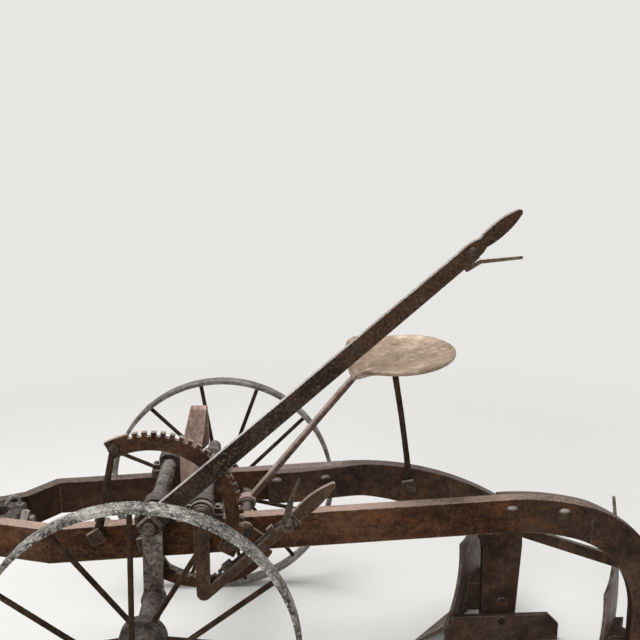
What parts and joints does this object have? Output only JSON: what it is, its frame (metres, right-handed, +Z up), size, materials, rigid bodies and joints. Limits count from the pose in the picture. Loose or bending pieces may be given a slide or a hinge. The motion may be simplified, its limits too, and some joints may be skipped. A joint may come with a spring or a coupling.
{
  "type": "riding gang plow scale model",
  "caption": "Scale model of a horse-drawn riding gang plow: cranked wheels, latched hand levers, twin beams, seat, hitch and plow bottoms.",
  "frame": {"origin": "bottom centre of the whole model's box, on the ground", "axes": "+X rearwards along the beams (travel is -X), +Y to the furrow side, +Z up"},
  "size_m": [0.5954, 0.31, 0.3648],
  "materials": {
    "beam_iron": "brown rust patina over hand-forged bar, worn pinkish grey on the top faces",
    "standard_iron": "dark brown patina over forged bar",
    "rim_paint": "worn pale paint, mottled with bare dark iron",
    "spoke_iron": "dark brown iron",
    "hub_iron": "dark grey iron with worn paint",
    "lever_iron": "near-black forged iron, worn bright along the edges",
    "latch_iron": "dark forged iron",
    "quadrant_iron": "brown and orange rust",
    "shaft_iron": "dark grey mottled iron, dull",
    "bearing_iron": "dark grey rough casting",
    "rest_paint": "worn pinkish grey with traces of red paint",
    "seat_metal": "worn beige sheet metal, brown at the rim",
    "strut_iron": "brown-grey forged bar",
    "hitch_iron": "grey rough iron",
    "pin_iron": "light grey worn iron",
    "fastener_iron": "dull grey-brown, lighter on the corners",
    "plow_steel": "scoured grey steel with brown rust",
    "landside_iron": "brown rusty iron"
  },
  "bodies": {
    "frame": {"left_beam": "beam_iron", "right_beam": "beam_iron", "left_standard": "standard_iron", "right_standard": "standard_iron", "beam_rivets": "fastener_iron", "hitch_block": "hitch_iron", "draw_bolt": "shaft_iron", "hitch_bolts": "fastener_iron", "seat_rod": "shaft_iron", "frame_nuts": "fastener_iron", "land_bearing_left": "bearing_iron", "land_bearing_right": "bearing_iron", "furrow_bearing_left": "bearing_iron", "furrow_bearing_right": "bearing_iron", "bearing_bolts": "fastener_iron", "main_quadrant": "quadrant_iron", "quadrant_stay": "quadrant_iron", "quadrant_bolts": "fastener_iron", "furrow_quadrant": "quadrant_iron", "seat_pan": "seat_metal", "seat_front_strut": "strut_iron", "seat_rear_strut": "strut_iron", "seat_rivets": "fastener_iron", "foot_rest": "rest_paint", "strap_bolts": "fastener_iron", "rear_share": "plow_steel", "rear_moldboard": "plow_steel", "rear_landside": "landside_iron", "rear_frog": "landside_iron", "front_share": "plow_steel", "front_moldboard": "plow_steel", "front_landside": "landside_iron", "front_frog": "landside_iron", "plow_bolts": "fastener_iron", "standard_brace": "standard_iron"},
    "land_crank": {"land_crank_axle": "shaft_iron", "land_axle_collar": "shaft_iron", "main_lever": "lever_iron", "main_lever_nut": "fastener_iron", "main_lever_rivets": "fastener_iron", "main_latch_guides": "latch_iron", "land_wheel_linchpin": "pin_iron"},
    "furrow_crank": {"furrow_crank_axle": "shaft_iron", "furrow_lever": "lever_iron", "furrow_lever_nut": "fastener_iron", "furrow_wheel_linchpin": "pin_iron"},
    "land_wheel": {"land_wheel_rim": "rim_paint", "land_wheel_spokes": "spoke_iron", "land_wheel_hub": "hub_iron"},
    "furrow_wheel": {"furrow_wheel_rim": "rim_paint", "furrow_wheel_spokes": "spoke_iron", "furrow_wheel_hub": "hub_iron"},
    "main_trigger": {"main_trigger": "latch_iron"},
    "main_latch": {"main_latch_rod": "latch_iron", "main_latch_pawl": "latch_iron"},
    "furrow_trigger": {"furrow_trigger": "latch_iron"},
    "furrow_latch": {"furrow_latch_rod": "latch_iron"},
    "clevis": {"draft_clevis": "hitch_iron", "clevis_pin": "pin_iron"},
    "drop_pin": {"hook_pin": "pin_iron"}
  },
  "joints": [
    {"name": "land_crank_turn", "type": "hinge", "parent": "frame", "child": "land_crank", "pos_m": [-0.10325, 0, 0.161], "axis": [0, -1, 0], "range_deg": [-29.5, 46]},
    {"name": "furrow_crank_turn", "type": "hinge", "parent": "frame", "child": "furrow_crank", "pos_m": [-0.07125, 0, 0.161], "axis": [0, -1, 0], "range_deg": [-18, 18.4]},
    {"name": "land_wheel_spin", "type": "hinge", "parent": "land_crank", "child": "land_wheel", "pos_m": [-0.10495, -0.124, 0.1006], "axis": [0, -1, 0], "continuous": true},
    {"name": "furrow_wheel_spin", "type": "hinge", "parent": "furrow_crank", "child": "furrow_wheel", "pos_m": [-0.06945, 0.124, 0.1006], "axis": [0, -1, 0], "continuous": true},
    {"name": "main_trigger_pull", "type": "hinge", "parent": "land_crank", "child": "main_trigger", "pos_m": [0.10321, -0.0607, 0.33885], "axis": [0, -1, 0], "range_deg": [-16, 14]},
    {"name": "main_latch_slide", "type": "slide", "parent": "land_crank", "child": "main_latch", "axis": [0.7581, 0, 0.6521], "range_m": [-0.0014, 0.00123]},
    {"name": "furrow_trigger_pull", "type": "hinge", "parent": "furrow_crank", "child": "furrow_trigger", "pos_m": [-0.01278, -0.06005, 0.15112], "axis": [0, -1, 0], "range_deg": [-20, 18]},
    {"name": "furrow_latch_slide", "type": "slide", "parent": "furrow_crank", "child": "furrow_latch", "axis": [0.749, 0, 0.6626], "range_m": [-0.00151, 0.00168]},
    {"name": "clevis_swing", "type": "hinge", "parent": "frame", "child": "clevis", "pos_m": [-0.26425, -0.0135, 0.138], "axis": [0, 0, 1], "range_deg": [-60, 60]},
    {"name": "hook_pin_lift", "type": "slide", "parent": "frame", "child": "drop_pin", "axis": [0, 0, 1], "range_m": [0, 0.02]}
  ],
  "couplings": [
    {"joint": "main_latch_slide", "follows": "main_trigger_pull", "m_per_rad": 0.005},
    {"joint": "furrow_latch_slide", "follows": "furrow_trigger_pull", "m_per_rad": -0.0048}
  ]
}
